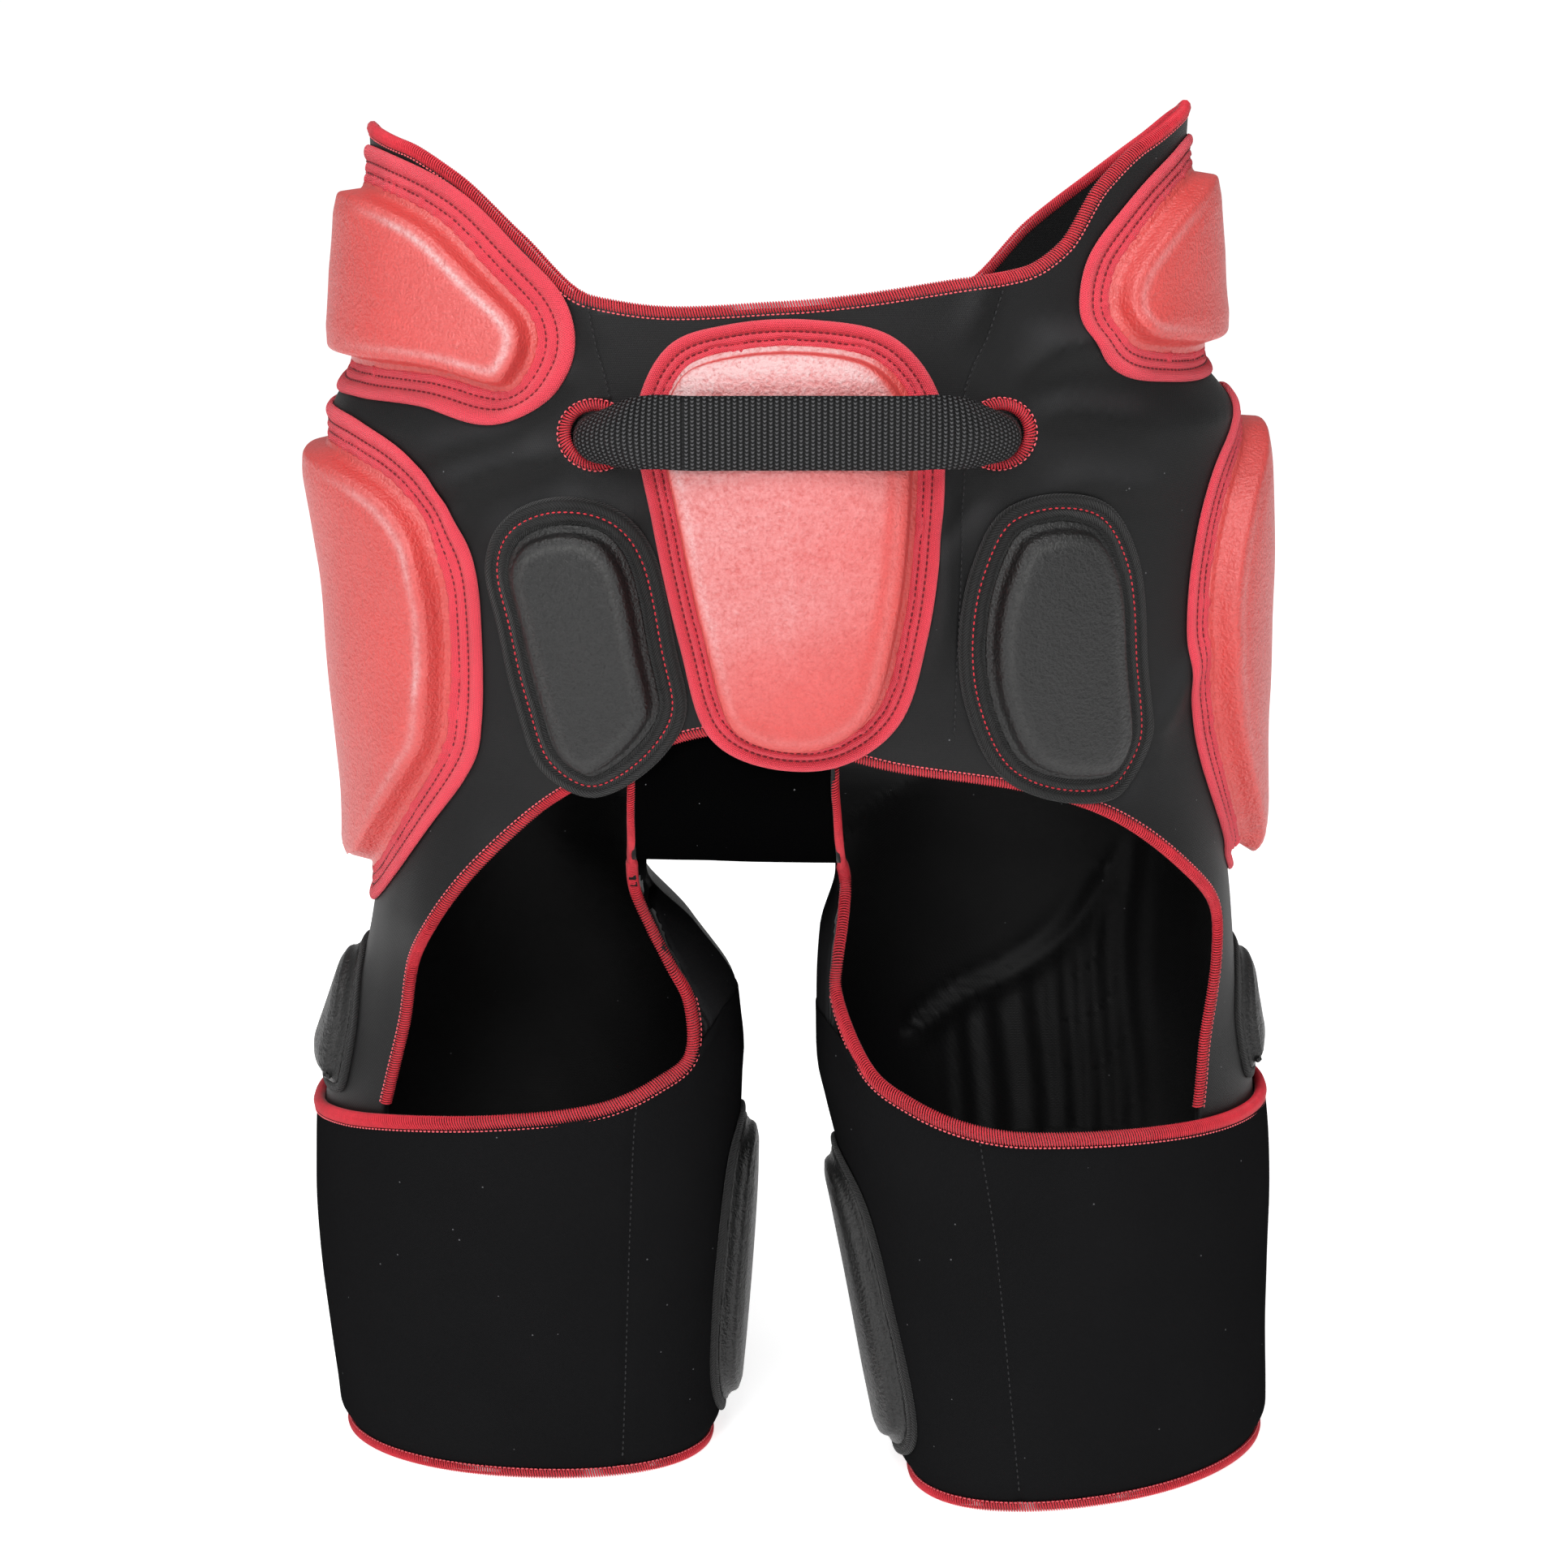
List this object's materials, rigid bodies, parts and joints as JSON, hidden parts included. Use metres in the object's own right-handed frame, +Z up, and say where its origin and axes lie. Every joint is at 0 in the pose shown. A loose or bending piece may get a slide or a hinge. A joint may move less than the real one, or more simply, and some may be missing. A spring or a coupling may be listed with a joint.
{
  "type": "hip pad",
  "caption": "Padded hip girdle for a field player or goalkeeper: knit shell with wide thigh cuffs, sewn-on foam pads and a webbing belt through two bound slots.",
  "frame": {"origin": "middle of the footprint on the ground, under the two thigh cuffs", "axes": "+Z up towards the waist, -Y towards the front with the red middle pad, +X towards the right of the front view"},
  "size_m": [0.4292, 0.25, 0.5985],
  "materials": {
    "knit_fabric": "smooth black warp knit with a soft sheen",
    "neoprene": "jersey-faced neoprene, matte",
    "red_foam": "skinned moulded foam with a fine pebble grain, satin",
    "red_trim": "folded woven tape, stitched",
    "red_thread": "overlocked thread edge",
    "black_foam": "skinned moulded foam with a fine pebble grain, satin",
    "black_tape": "herringbone tape, matte",
    "webbing": "ribbed polypropylene webbing, slight gloss"
  },
  "bodies": {
    "root": {"body_shell": "knit_fabric", "crotch_gusset": "knit_fabric", "waist_binding": "red_thread", "front_panel_binding": "red_thread", "thigh_binding_left": "red_thread", "thigh_binding_right": "red_thread", "hem_binding_left": "red_thread", "hem_binding_right": "red_thread", "slot_binding_left": "red_thread", "slot_binding_right": "red_thread", "belt_strap": "webbing", "thigh_cuff_left": "neoprene", "thigh_cuff_right": "neoprene", "front_pad": "red_foam", "front_trim": "red_trim", "upper_hip_pad_left": "red_foam", "upper_hip_trim_left": "red_trim", "upper_hip_pad_right": "red_foam", "upper_hip_trim_right": "red_trim", "lower_hip_pad_left": "red_foam", "lower_hip_trim_left": "red_trim", "lower_hip_pad_right": "red_foam", "lower_hip_trim_right": "red_trim", "groin_pad_left": "black_foam", "groin_tape_left": "black_tape", "groin_pad_right": "black_foam", "groin_tape_right": "black_tape", "outer_thigh_pad_left": "black_foam", "outer_thigh_tape_left": "black_tape", "outer_thigh_pad_right": "black_foam", "outer_thigh_tape_right": "black_tape", "inner_thigh_pad_left": "black_foam", "inner_thigh_tape_left": "black_tape", "inner_thigh_pad_right": "black_foam", "inner_thigh_tape_right": "black_tape"}
  },
  "joints": []
}
